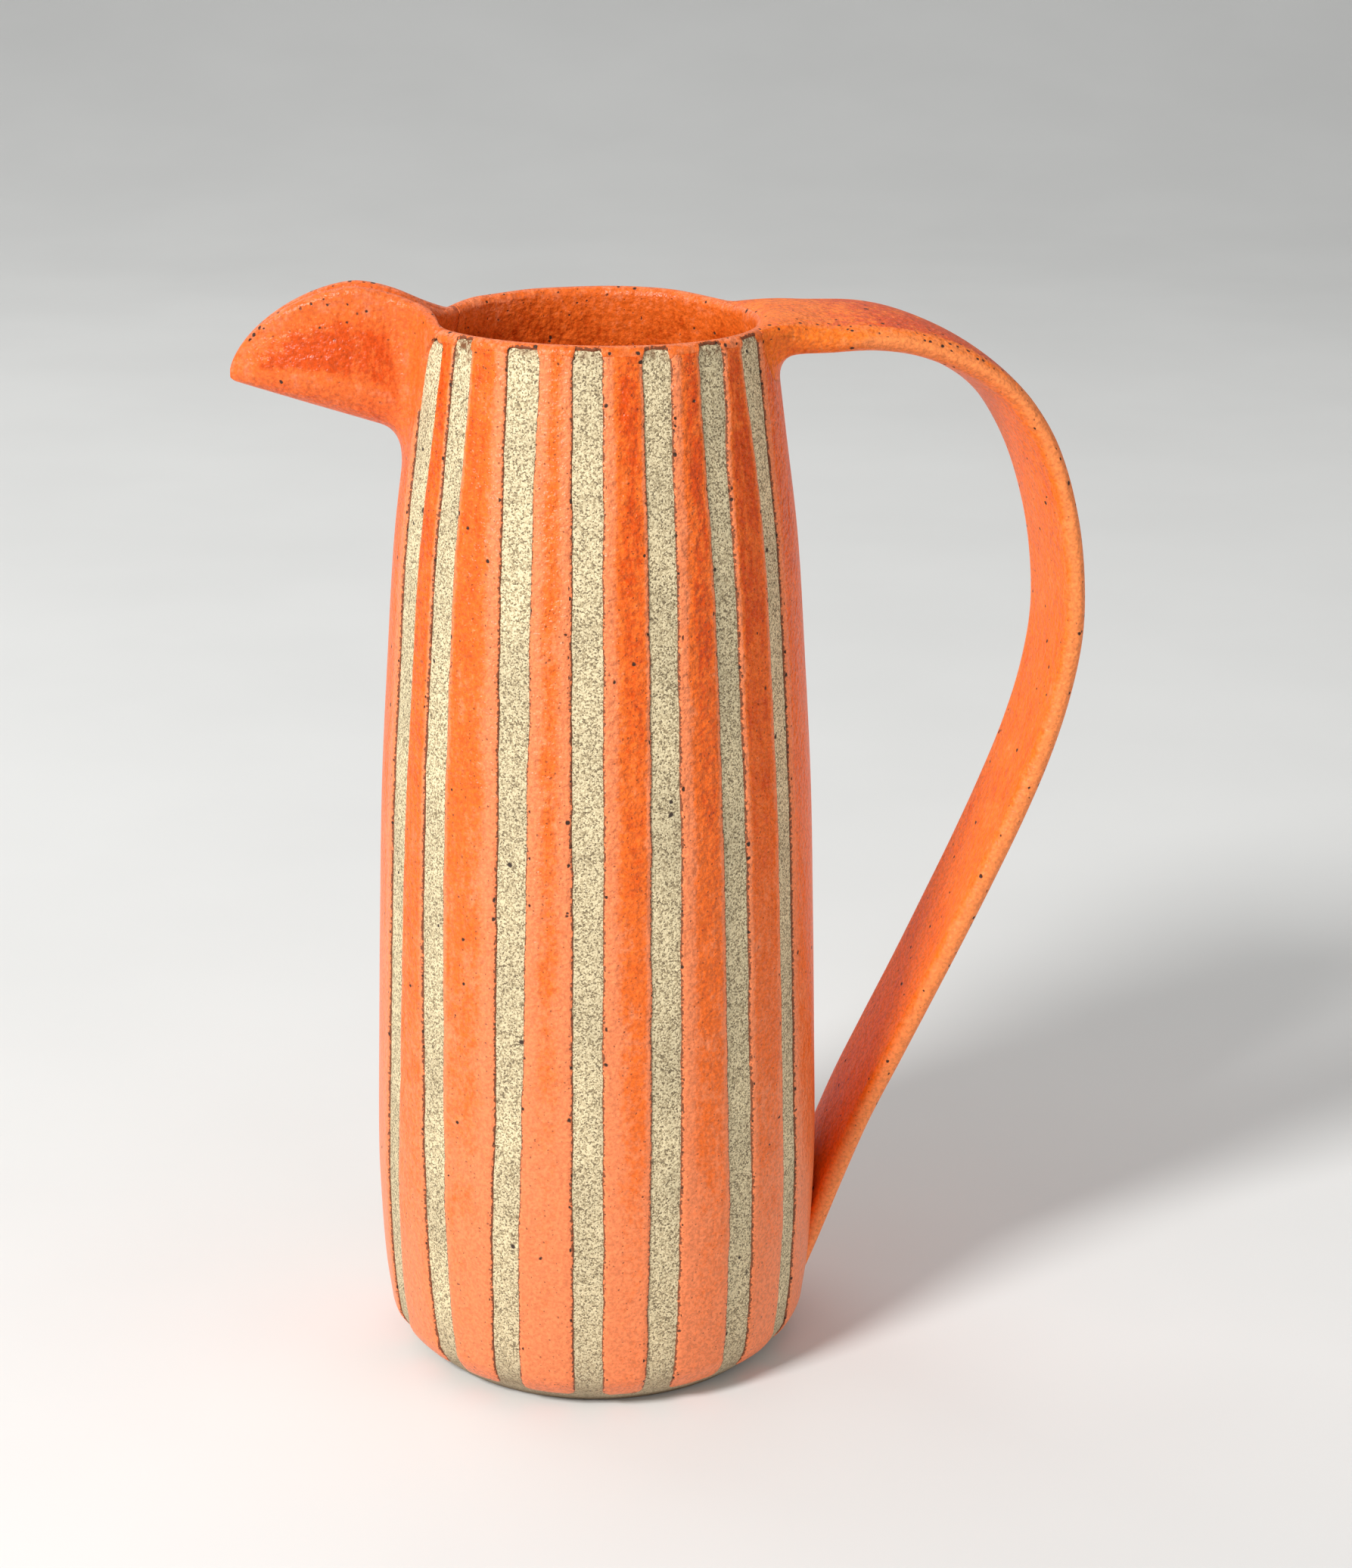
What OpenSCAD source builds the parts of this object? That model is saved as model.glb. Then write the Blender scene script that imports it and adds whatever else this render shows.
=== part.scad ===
// Tall stoneware jug with a folded spout, a strap handle and glaze panels parted by bare stripes.
// The origin is the centre of the foot on the table, with +Z up. The spout points along -X.

/* [Body] */
// Height of the rim above the table, with its glaze
rim_height = 250; // [210:1:290]
// Radius of the clay wall at the belly, its widest place
belly_radius = 52.5; // [46:0.5:60]
// Thickness of the clay wall
wall = 3.2; // [2.6:0.1:4.4]
// Thickness of the slab that the wall stands on
base_thickness = 5; // [4:0.5:7]
// How far the bottom edge is turned in from the wall
foot_inset = 8; // [4:0.5:10]
// Height of the turned-in bottom edge
foot_rise = 10; // [8:0.5:14]
// Radius of the round corner inside, between the wall and the slab
inner_corner = 6; // [4:0.5:9]

/* [Glaze] */
// Thickness of the glaze, inside and out
glaze = 0.4; // [0.25:0.05:0.8]
// Width of a bare stripe at the belly
stripe_width = 7; // [4:0.5:10]

/* [Spout] */
// Distance of the spout's tip from the jug's axis
spout_reach = 82.5; // [76:1:92]
// Distance of the lips' crown from the jug's axis
crown_reach = 54; // [50:1:58]
// Height of the lips' crown above the rim
crown_rise = 7.4; // [4:0.2:11]
// Depth of the tip below the rim
tip_drop = 13; // [8:0.5:18]
// Depth of the fold below the rim, where it leaves its fillet at the wall
fold_drop = 24; // [20:0.5:30]
// Width of the folded slab across the fold
spout_width = 16; // [13:0.5:20]
// Width across the two lips at their crown
lips_width = 11.6; // [10:0.2:15]
// Thickness of the folded slab
spout_wall = 3.8; // [3:0.1:4.6]
// How far out from the wall the spout starts to flare into it
flare_reach = 8; // [5:0.5:11]
// Least width of glaze left on the wall beside the spout's flare
flare_clearance = 0.8; // [0.5:0.1:2]
// Radius of the fillet under the spout, at the wall
spout_fillet = 7; // [4:0.5:10]

/* [Handle] */
// Distance of the middle of the strap from the jug's axis, where it stands out most
handle_reach = 111; // [98:0.5:126]
// Width of the strap where it leaves the rim
handle_width = 31; // [26:0.5:34]
// Thickness of the strap where it leaves the rim
handle_thickness = 8; // [6:0.5:10]
// Turn of the handle away from the line through the spout, in degrees
handle_turn = 8; // [-12:1:12]

/* [Hidden] */
$fn = 180;
stripe_clay = "#a09878";
foot_clay = "#7d6248";
orange_glaze = "#cf6a38";
inner_glaze = "#b4582e";

// Wall: shares of the height from the turned-in foot to the rim, and of the belly radius
wall_outline_shares = [
    [0, 0.954], [0.042, 0.978], [0.104, 0.994], [0.167, 1], [0.292, 0.987], [0.417, 0.971],
    [0.542, 0.951], [0.667, 0.915], [0.792, 0.872], [0.896, 0.811], [1, 0.75]
];
wall_bands = 26;
foot_bands = 4;
lip_bands = 8;
corner_bands = 5;
// The foot's edge turns in faster than a chamfer and slower than a round
foot_bend = 1.55;
clay_top = rim_height - glaze;
lip_round = wall / 2;
lip_start = clay_top - lip_round;

// Bare stripes: shares of the way from the spout round to the handle, in front and behind
front_stripe_shares = [0.136, 0.228, 0.36, 0.466, 0.574, 0.683, 0.795];
back_stripe_shares = [0.776, 0.651, 0.525, 0.4, 0.274, 0.148];
spout_turn = 180;
stripe_turns = concat(
    [for (share = front_stripe_shares) spout_turn + share * (180 + handle_turn)],
    [for (share = back_stripe_shares) spout_turn + 360 - share * (180 - handle_turn)]
);
stripe_sweep = stripe_width / belly_radius * 180 / PI;
panel_count = len(stripe_turns);
handle_panel = len(front_stripe_shares);

// Spout: it starts within the mouth, as far in from the lip as the lip is thick
spout_root = wall_radius(clay_top) - 2 * (wall + glaze);
crown_height = rim_height + crown_rise;
tip_height = rim_height - tip_drop;
// Cuts through the wall and the mouth run on past the crown by this
overrun = crown_rise;
cut_top = crown_height + overrun;
// The flare and the fillet stop this short of the wall, so that the spout enters it squarely
seat = 2 * glaze;
fillet_sweep = 65;
fillet_reach = spout_fillet * sin(fillet_sweep);
fold_root = rim_height - fold_drop;
fold_start = wall_radius(fold_root - spout_fillet / 2) + seat + fillet_reach;
fillet_end = fold_start - fillet_reach;
// Each side flares out to just short of the nearest stripe
spout_panel_half = min(
    front_stripe_shares[0] * (180 + handle_turn),
    back_stripe_shares[len(back_stripe_shares) - 1] * (180 - handle_turn)
) - stripe_sweep / 2;
flare = wall_radius(fold_root) * sin(spout_panel_half) - spout_width / 2 - flare_clearance;
// Round of the nose, as a share of the slab's thickness, and how far the fold lifts over it
nose_round_share = 0.4;
nose_lift_share = 0.6;
nose_round = spout_wall * nose_round_share;
// Exponents of the lips' fall to the tip, of their rise from the rim, and of the sides' taper
crown_bend = 1.62;
rise_bend = 1.6;
taper_bend = 0.7;
// Least width at the nose and least opening between the lips, as shares of the full width
nose_share = 0.1;
open_share = 0.2;
// Thickest floor, and height of the rounded fold, as shares of the section's height
floor_share = 0.15;
fold_round_share = 0.3;
// Dish of the sides, as a share of the lips' half-width
waist_share = 0.9;
// Most height of a lip's round, as a share of the section's height
lip_round_share = 0.25;
fold_steps = 4;
side_steps = 5;
lip_steps = 5;
root_steps = 4;
fillet_steps = 5;
nose_steps = 13;

// Strap: shares of the handle's reach, of the rim's height, of the strap's width and its thickness
strap_path_shares = [
    [0.3, 0.976, 1.14, 1.36], [0.345, 0.978, 1.1, 1.28], [0.385, 0.984, 1.05, 1.03],
    [0.42, 0.985, 1.02, 0.96], [0.47, 0.987, 1, 0.9], [0.56, 0.987, 0.98, 0.84],
    [0.65, 0.98, 0.96, 0.79], [0.735, 0.965, 0.95, 0.75],
    [0.81, 0.943, 0.94, 0.7], [0.872, 0.914, 0.93, 0.67], [0.929, 0.87, 0.92, 0.65],
    [0.972, 0.812, 0.91, 0.64], [0.994, 0.755, 0.91, 0.63], [0.998, 0.698, 0.91, 0.63],
    [0.978, 0.64, 0.9, 0.63], [0.941, 0.582, 0.9, 0.63], [0.89, 0.523, 0.9, 0.63],
    [0.832, 0.464, 0.89, 0.63], [0.769, 0.404, 0.89, 0.63], [0.703, 0.343, 0.88, 0.63],
    [0.635, 0.282, 0.88, 0.64], [0.567, 0.22, 0.87, 0.64], [0.509, 0.157, 0.86, 0.65],
    [0.456, 0.094, 0.84, 0.65], [0.412, 0.042, 0.8, 0.63]
];
rings_per_span = 2;
// Radius of the strap's edges, as a share of its thickness, and points on each
strap_edge_share = 0.36;
strap_edge_points = 4;

function panel_name(i) = str("glaze_panel_", i);

function reversed(points) = [for (i = [len(points) - 1 : -1 : 0]) points[i]];

// Smooth curve through the rows of a table: column c at row place x, counted from 0
function row_slope(table, i, c) =
    (table[min(i + 1, len(table) - 1)][c] - table[max(i - 1, 0)][c])
    / (min(i + 1, len(table) - 1) - max(i - 1, 0));

function row_at(table, x, c) =
    let (i = min(floor(x), len(table) - 2), t = x - i)
    table[i][c] * (2 * t ^ 3 - 3 * t ^ 2 + 1) + table[i + 1][c] * (3 * t ^ 2 - 2 * t ^ 3)
    + row_slope(table, i, c) * (t ^ 3 - 2 * t ^ 2 + t) + row_slope(table, i + 1, c) * (t ^ 3 - t ^ 2);

// Smooth curve through pairs of place and value
function span_of(table, x, i = 0) =
    i >= len(table) - 2 || x < table[i + 1][0] ? i : span_of(table, x, i + 1);

function pair_slope(table, i) =
    let (a = table[max(i - 1, 0)], b = table[min(i + 1, len(table) - 1)])
    (b[1] - a[1]) / (b[0] - a[0]);

function value_at(table, x) =
    let (
        i = span_of(table, x),
        a = table[i],
        b = table[i + 1],
        gap = b[0] - a[0],
        t = (x - a[0]) / gap
    )
    a[1] * (2 * t ^ 3 - 3 * t ^ 2 + 1) + b[1] * (3 * t ^ 2 - 2 * t ^ 3)
    + gap * (pair_slope(table, i) * (t ^ 3 - 2 * t ^ 2 + t) + pair_slope(table, i + 1) * (t ^ 3 - t ^ 2));

// Radius of the clay wall's outside at height z
function wall_radius(z) =
    z < foot_rise
        ? belly_radius * wall_outline_shares[0][1] - foot_inset * (1 - z / foot_rise) ^ foot_bend
        : belly_radius * value_at(wall_outline_shares, (z - foot_rise) / (rim_height - foot_rise));

// Heights of the wall's bands, from the slab up to where the lip starts to round
wall_heights = concat(
    [for (i = [0:foot_bands - 1]) base_thickness + (foot_rise - base_thickness) * i / foot_bands],
    [for (i = [0:wall_bands]) foot_rise + (lip_start - foot_rise) * i / wall_bands]
);

function outside_points(out) = [for (z = wall_heights) [wall_radius(z) + out, z]];

// The round lip, from the outside over to the inside
function lip_points(out) =
    let (centre = wall_radius(lip_start) - lip_round)
    [for (i = [1:lip_bands])
        let (a = 180 * i / lip_bands)
        [centre + (lip_round + out) * cos(a), lip_start + (lip_round + out) * sin(a)]];

// The inside from under the lip down to the slab, with the round corner
function inside_points(in) =
    let (
        corner_top = base_thickness + inner_corner,
        corner_radius = wall_radius(corner_top) - wall - inner_corner
    )
    concat(
        reversed([for (z = wall_heights) if (z > corner_top && z < lip_start) [wall_radius(z) - wall - in, z]]),
        [for (i = [0:corner_bands])
            let (a = 90 * i / corner_bands)
            [corner_radius + (inner_corner - in) * cos(a), corner_top - (inner_corner - in) * sin(a)]]
    );

slab_points = [for (i = [0:foot_bands]) let (z = base_thickness * i / foot_bands) [wall_radius(z), z]];

// Rings of points, one after another along a path, joined into one solid
module skin(rings) {
    sides = len(rings[0]);
    last = len(rings) - 1;
    polyhedron(
        [for (ring = rings) each ring],
        concat(
            [[for (j = [0:sides - 1]) j]],
            [for (i = [0:last - 1], j = [0:sides - 1])
                let (a = i * sides + j, b = i * sides + (j + 1) % sides)
                each [[a, a + sides, b], [b, a + sides, b + sides]]],
            [[for (j = [sides - 1 : -1 : 0]) last * sides + j]]
        )
    );
}

// The jug's outside, filled up to the glazed rim: it trims what is set against the wall
module filled_body() {
    rotate_extrude()
        polygon(concat(
            [[0, 0]],
            slab_points,
            [for (z = wall_heights) if (z > base_thickness) [wall_radius(z), z]],
            [[wall_radius(lip_start) + glaze, lip_start]],
            [for (i = [0:lip_bands / 2 - 1]) lip_points(glaze)[i]],
            [[0, rim_height]]
        ));
}

// The space inside the jug and over its mouth, within the coat of glaze
module cavity() {
    mouth_radius = wall_radius(lip_start) - wall - glaze;
    rotate_extrude()
        polygon([
            [0, rim_height / 2],
            [mouth_radius, rim_height / 2],
            [mouth_radius, cut_top],
            [0, cut_top]
        ]);
}

module body_wall() {
    color(stripe_clay)
    difference() {
        rotate_extrude()
            polygon(concat(outside_points(0), lip_points(0), inside_points(0)));
        throat();
    }
}

module base_slab() {
    color(foot_clay)
    rotate_extrude()
        polygon(concat([[0, 0]], slab_points, [[0, base_thickness]]));
}

// One coat of glaze lines the inside and turns over the lip
module liner_glaze() {
    color(inner_glaze)
    difference() {
        rotate_extrude()
            polygon(concat(
                [[wall_radius(lip_start), lip_start]],
                lip_points(0),
                inside_points(0),
                [[0, base_thickness], [0, base_thickness + glaze]],
                reversed(inside_points(glaze)),
                reversed(lip_points(glaze)),
                [[wall_radius(lip_start) + glaze, lip_start]]
            ));
        throat();
    }
}

// Panels are counted from the spout towards the front: the last one lies under the spout
module glaze_panel(i) {
    start = stripe_turns[i - 1] + stripe_sweep / 2;
    stop = (i < panel_count ? stripe_turns[i] : stripe_turns[0] + 360) - stripe_sweep / 2;
    color(orange_glaze)
    difference() {
        rotate([0, 0, start])
            rotate_extrude(angle = stop - start)
                polygon(concat(outside_points(0), reversed(outside_points(glaze))));
        if (i == handle_panel) strap();
        if (i == panel_count) spout_seat();
    }
}

// Straight line of the fold, without its fillet: it rises from the wall out to the tip
function fold_line(u) =
    fold_root + (fold_drop - tip_drop - nose_round) * (u - fold_start) / (spout_reach - fold_start);

function fillet_dip(u) =
    let (x = min(max(0, fold_start - u), fillet_reach))
    spout_fillet - sqrt(spout_fillet ^ 2 - x ^ 2);

function nose_lift(u) =
    let (x = max(0, u - spout_reach + nose_round))
    nose_lift_share * (nose_round - sqrt(max(0, nose_round ^ 2 - x ^ 2)));

function fold_height(u) = fold_line(u) - fillet_dip(u) + nose_lift(u);

// The lips rise from the rim to their crown and fall in a fuller curve to the tip
function lip_height(u) =
    let (
        up = (crown_reach - u) / (crown_reach - spout_root),
        down = max(0, u - crown_reach) / (spout_reach - crown_reach)
    )
    u < crown_reach
        ? crown_height - crown_rise * up ^ rise_bend
        : tip_height + (crown_height - tip_height) * max(0, 1 - down ^ crown_bend) ^ (1 / crown_bend);

// Share of its width that the spout keeps at place u
function taper(u) =
    let (x = max(0, u - fold_start) / (spout_reach - fold_start))
    max(nose_share, (1 - x ^ 2) ^ taper_bend);

// Flare of each side into the wall, at place u and height z
function flare_at(u, z) =
    let (near = flare_reach - max(seat, u - wall_radius(min(z, clay_top))))
    flare * (max(0, near) / flare_reach) ^ 2;

function fold_half(u) = spout_width / 2 * taper(u);

function lip_half(u) = lips_width / 2 * taper(u);

function lip_thick(u) = min(spout_wall, (1 - open_share) * lip_half(u));

// Height where the fold's round ends and the dished side begins
function shoulder(u) = fold_height(u) + fold_round_share * (lip_height(u) - fold_height(u));

// Height where the side ends and the lip begins to round
function crest(u) =
    lip_height(u) - min(lip_thick(u) / 2, lip_round_share * (lip_height(u) - fold_height(u)));

// Half-width of the slab's outside above its shoulder
function side_half(u, z) =
    let (x = max(0, (z - shoulder(u)) / (crest(u) - shoulder(u))))
    fold_half(u) * (1 - x) ^ 2 * (1 + 2 * x)
    + lip_half(u) * (waist_share * 3 * x ^ 2 * (1 - x) + x ^ 3)
    + flare_at(u, z);

// Half of the channel's section, from under the lip down to the middle of its bed
function channel_half(u) =
    let (
        floor_line = fold_line(u) + nose_lift(u),
        deep = lip_height(u) - floor_line,
        bed = floor_line + min(spout_wall, floor_share * deep),
        bend = bed + fold_round_share / 2 * deep,
        bend_half = side_half(u, bend) - lip_thick(u)
    )
    concat(
        [for (i = [0:side_steps])
            let (z = crest(u) + (bend - crest(u)) * i / side_steps)
            [side_half(u, z) - lip_thick(u), z]],
        [for (i = [1:fold_steps])
            let (a = 90 * i / fold_steps)
            [bend_half * cos(a), bend - (bend - bed) * sin(a)]]
    );

// Half of the folded slab's section: from under the fold up the outside, over the lip, down the channel
function slab_half(u) =
    let (
        low = fold_height(u),
        rise = shoulder(u) - low,
        lip_centre = side_half(u, crest(u)) - lip_thick(u) / 2
    )
    concat(
        [for (i = [0:fold_steps - 1])
            let (a = 90 * i / fold_steps, z = low + rise * (1 - cos(a)))
            [(fold_half(u) + flare_at(u, z)) * sin(a), z]],
        [for (i = [0:side_steps])
            let (z = shoulder(u) + (crest(u) - shoulder(u)) * i / side_steps)
            [side_half(u, z), z]],
        [for (i = [1:lip_steps - 1])
            let (a = 180 * i / lip_steps)
            [lip_centre + lip_thick(u) / 2 * cos(a), crest(u) + (lip_height(u) - crest(u)) * sin(a)]],
        channel_half(u)
    );

// Places along the spout's reach that have a section: close together in the fillet and at the nose
spout_places = concat(
    [for (i = [0:root_steps - 1]) spout_root + (fillet_end - spout_root) * i / root_steps],
    [for (i = [0:fillet_steps - 1]) fold_start - spout_fillet * sin(fillet_sweep * (1 - i / fillet_steps))],
    [for (i = [0:nose_steps]) fold_start + (spout_reach - fold_start) * sin(90 * i / nose_steps)]
);

module folded_slab() {
    rotate([0, 0, spout_turn])
        skin([for (u = spout_places)
            let (half = slab_half(u), last = len(half) - 1)
            concat(
                [for (p = half) [u, p[0], p[1]]],
                [for (i = [last - 1 : -1 : 1]) [u, -half[i][0], half[i][1]]]
            )]);
}

// A trough through the wall, open upwards: half sections run from its bed up to its side
module trough(halves, places) {
    rotate([0, 0, spout_turn])
        skin([for (i = [0:len(places) - 1])
            let (
                half = concat(halves[i], [[halves[i][len(halves[i]) - 1][0], cut_top]]),
                last = len(half) - 1
            )
            concat(
                [for (p = half) [places[i], p[0], p[1]]],
                [for (j = [last : -1 : 1]) [places[i], -half[j][0], half[j][1]]]
            )]);
}

wall_places = [for (u = spout_places) if (u < fold_start + flare_reach) u];

// The throat that the spout's channel cuts through the wall
module throat() {
    trough([for (u = wall_places) reversed(channel_half(u))], wall_places);
}

// All that the spout takes up at the wall, its channel included
module spout_seat() {
    trough(
        [for (u = wall_places) [for (i = [0:fold_steps + side_steps]) slab_half(u)[i]]],
        wall_places
    );
}

module spout() {
    color(orange_glaze)
    difference() {
        folded_slab();
        filled_body();
        cavity();
    }
}

// Place on the strap's path, in its own plane
function strap_point(x) =
    [handle_reach * row_at(strap_path_shares, x, 0), rim_height * row_at(strap_path_shares, x, 1)];

// Section of the strap: a flat bar with round edges, square to its path
function strap_ring(x) =
    let (
        step = 1 / rings_per_span / 2,
        centre = strap_point(x),
        along = strap_point(min(x + step, len(strap_path_shares) - 1)) - strap_point(max(x - step, 0)),
        through = [-along[1], along[0]] / norm(along),
        thick = handle_thickness * row_at(strap_path_shares, x, 3),
        round = thick * strap_edge_share,
        across_half = handle_width / 2 * row_at(strap_path_shares, x, 2) - round,
        through_half = thick / 2 - round
    )
    [for (corner = [[1, 1, 0], [-1, 1, 90], [-1, -1, 180], [1, -1, 270]], j = [0:strap_edge_points - 1])
        let (
            a = corner[2] + 90 * j / (strap_edge_points - 1),
            across = corner[0] * across_half + round * cos(a),
            place = centre + through * (corner[1] * through_half + round * sin(a))
        )
        [place[0], across, place[1]]];

module strap() {
    spans = len(strap_path_shares) - 1;
    rotate([0, 0, handle_turn])
        skin([for (i = [0 : spans * rings_per_span]) strap_ring(i / rings_per_span)]);
}

module handle() {
    color(orange_glaze)
    difference() {
        strap();
        filled_body();
    }
}

body_wall();
base_slab();
spout();
handle();
liner_glaze();
for (i = [1:panel_count])
    glaze_panel(i);
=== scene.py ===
import math
from functools import partialmethod

import bmesh
import bpy
import numpy as np
from mathutils import Matrix, Vector


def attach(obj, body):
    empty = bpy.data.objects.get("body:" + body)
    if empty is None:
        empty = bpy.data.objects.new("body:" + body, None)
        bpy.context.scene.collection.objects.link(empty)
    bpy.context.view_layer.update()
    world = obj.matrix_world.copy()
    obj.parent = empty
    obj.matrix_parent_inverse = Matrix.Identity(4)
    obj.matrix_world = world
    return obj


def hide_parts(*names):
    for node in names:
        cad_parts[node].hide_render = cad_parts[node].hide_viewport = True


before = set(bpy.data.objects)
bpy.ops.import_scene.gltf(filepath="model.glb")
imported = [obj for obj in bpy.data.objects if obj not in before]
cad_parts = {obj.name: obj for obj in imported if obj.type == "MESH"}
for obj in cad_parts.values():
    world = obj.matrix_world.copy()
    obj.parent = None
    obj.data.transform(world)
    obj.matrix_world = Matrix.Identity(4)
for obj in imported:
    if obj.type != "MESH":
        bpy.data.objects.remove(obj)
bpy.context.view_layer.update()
print("frame loaded:", len(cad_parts), "nodes")

mm = 0.001  # every size below is in millimetres, and every mesh in metres
scene = bpy.context.scene


class settings(dict):
    # a dictionary whose values are also read with a dot
    __getattr__ = dict.__getitem__


def addObject(name, data):
    made = bpy.data.objects.new(name, data)
    scene.collection.objects.link(made)
    return made


# camera
cameraPlace = settings(
    focalPixels=4400, framePixels=(1787, 2072), sensor=36, clip=(0.01, 100),
    place=(0, -742.6, 387.4),
    down=18.4733,  # degrees below the horizon
    right=1.4386, roll=0.3828,
)


def makeCamera(given):
    data = bpy.data.cameras.new("camera")
    data.sensor_width = given.sensor
    data.lens = given.focalPixels / max(given.framePixels) * given.sensor
    data.clip_start, data.clip_end = given.clip
    turn = Matrix()
    for angle, axis in ((-given.right, "Z"), (90 - given.down, "X"), (given.roll, "Z")):
        turn = turn @ Matrix.Rotation(math.radians(angle), 4, axis)
    scene.camera = addObject("camera", data)
    scene.camera.matrix_world = Matrix.Translation(Vector(given.place) * mm) @ turn


makeCamera(cameraPlace)
scene.view_settings.view_transform = "Standard"
print("camera placed")

# the jug's form
jug = settings(
    rim=250, belly=52.5, wall=3.2, glaze=0.4, slab=5, footInset=8, footRise=10, footBend=1.55, innerCorner=6,
    # height from the turned-in foot to the rim, and radius, as shares
    outline=[
        (0, 0.954), (0.042, 0.978), (0.104, 0.994), (0.167, 1), (0.292, 0.987), (0.417, 0.971), (0.542, 0.951),
        (0.667, 0.915), (0.792, 0.872), (0.896, 0.811), (1, 0.75),
    ],
    # how far the rim stands above or below level: side in degrees, half width, millimetres
    swells=[(-20, 85, 0.75), (-113, 23, -1.3), (-140, 18, -0.3), (128, 26, -0.6), (165, 30, 0.25)],
    swellRise=(236, 12),  # they begin at this height, and are full this much higher
    swellReach=(50, 9),  # and at this radius, and are full this much further in
)
lipRound = jug.wall / 2
lipStart = jug.rim - jug.glaze - lipRound
lipArc = math.pi * (lipRound + jug.glaze)
lipEnd = lipStart + lipArc  # distances along the skin: up the outside, over the lip, down the inside
spoutSide = -90  # degrees from the camera's side
handleSide = 98


def bounded(x):
    return np.clip(x, 0, 1)


def eased(x):
    x = bounded(x)
    return x * x * (3 - 2 * x)


def apart(angle, side):
    # degrees between two angles
    return np.abs((np.asarray(angle, float) - side + 180) % 360 - 180)


def unit(v):
    return v / np.maximum(np.linalg.norm(v, axis=-1, keepdims=True), 1e-12)


def smoothThrough(pairs, x):
    # smooth curve through pairs of place and value
    place, value = np.array(pairs, float).T
    around = np.pad([place, value], ((0, 0), (1, 1)), "edge")
    run, climb = around[:, 2:] - around[:, :-2]
    slope = climb / run
    x = np.asarray(x, float)
    i = np.clip(np.searchsorted(place, x, side="right") - 1, 0, len(place) - 2)
    gap = place[i + 1] - place[i]
    t = (x - place[i]) / gap
    bend = gap * t * (1 - t) * (slope[i] * (1 - t) - slope[i + 1] * t)
    return value[i] + (value[i + 1] - value[i]) * t * t * (3 - 2 * t) + bend


def wallRadius(z):
    z, rise = np.asarray(z, float), jug.footRise
    low = jug.belly * jug.outline[0][1] - jug.footInset * bounded(1 - z / rise) ** jug.footBend
    high = jug.belly * smoothThrough(jug.outline, (z - rise) / (jug.rim - rise))
    return np.where(z < rise, low, high)


def skinPlace(s):
    # radius and height of the glazed skin at distance s along it
    s, coat = np.asarray(s, float), jug.glaze
    angle = bounded((s - lipStart) / lipArc) * math.pi
    down = lipStart - (s - lipEnd)
    over = wallRadius(lipStart) - lipRound + (lipRound + coat) * np.cos(angle)
    parts = [s <= lipStart, s < lipEnd]
    radius = np.select(parts, [wallRadius(s) + coat, over], wallRadius(down) - jug.wall - coat)
    return radius, np.select(parts, [s, lipStart + (lipRound + coat) * np.sin(angle)], down)


def turned(radius, angle, z):
    # points at an angle from the camera's side, in degrees towards +X
    a = np.radians(angle)
    return np.stack(np.broadcast_arrays(radius * np.sin(a), -radius * np.cos(a), z), -1)


def sideOf(points):
    return np.degrees(np.arctan2(points[..., 0], -points[..., 1]))


def wobbled(points):
    points = np.array(points, float)
    side, (low, rise), (wide, reach) = sideOf(points), jug.swellRise, jug.swellReach
    swell = sum(height * bounded(1 - (apart(side, middle) / half) ** 2) ** 2 for middle, half, height in jug.swells)
    swell *= eased((points[:, 2] - low) / rise) * eased((wide - np.hypot(points[:, 0], points[:, 1])) / reach)
    points[:, 2] += swell
    return points


def lengths(points):
    # distance along a line of points, at each of them
    return np.hstack([0, np.cumsum(np.linalg.norm(np.diff(points, axis=0), axis=1))])


def gridFaces(rows, columns, first=0, closed=False, flip=False):
    faces = []
    for low in range(first, first + (rows - 1) * columns, columns):
        for j in range(columns if closed else columns - 1):
            k = (j + 1) % columns
            quad = (low + j, low + k, low + columns + k, low + columns + j)
            faces.append(quad[::-1] if flip else quad)
    return faces


def plainMesh(name, points, faces):
    mesh = bpy.data.meshes.new(name)
    mesh.from_pydata([tuple(p) for p in points * mm], [], faces)
    return mesh


def makePiece(name, points, faces, material, marks, hidden=()):
    # a piece from points in millimetres, with each mark's value at each point; hidden faces are shaded flat
    mesh = plainMesh(name, wobbled(points), faces)
    for mark, values in marks.items():
        layer = mesh.attributes.new(mark, "FLOAT", "POINT")
        layer.data.foreach_set("value", np.asarray(values, np.float32).ravel())
    flat = set(hidden)
    mesh.polygons.foreach_set("use_smooth", [i not in flat for i in range(len(faces))])
    mesh.materials.append(material)
    form = bmesh.new()
    form.from_mesh(mesh)
    bmesh.ops.remove_doubles(form, verts=form.verts, dist=0.002 * mm)
    bmesh.ops.recalc_face_normals(form, faces=form.faces)
    form.to_mesh(mesh)
    form.free()
    return addObject(name, mesh)


# node trees
class wire:
    # a node's output: plain signs make Math nodes from it, a name in brackets picks another output
    def __init__(self, socket):
        self.socket, self.tree = socket, socket.id_data

    def __getitem__(self, name):
        return wire(self.socket.node.outputs[name])

    def sum(self, operation, other):
        return sums(operation, self, other)

    __add__ = partialmethod(sum, "ADD")
    __sub__ = partialmethod(sum, "SUBTRACT")
    __mul__ = __rmul__ = partialmethod(sum, "MULTIPLY")
    __truediv__ = partialmethod(sum, "DIVIDE")
    __lt__ = partialmethod(sum, "LESS_THAN")
    __gt__ = partialmethod(sum, "GREATER_THAN")

    def __rsub__(self, other):
        return sums("SUBTRACT", other, self)


def feed(socket, value):
    if isinstance(value, wire):
        value.tree.links.new(value.socket, socket)
    else:
        plain = socket.type == "VECTOR" and not isinstance(value, tuple)
        socket.default_value = (value,) * 3 if plain else value


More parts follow.
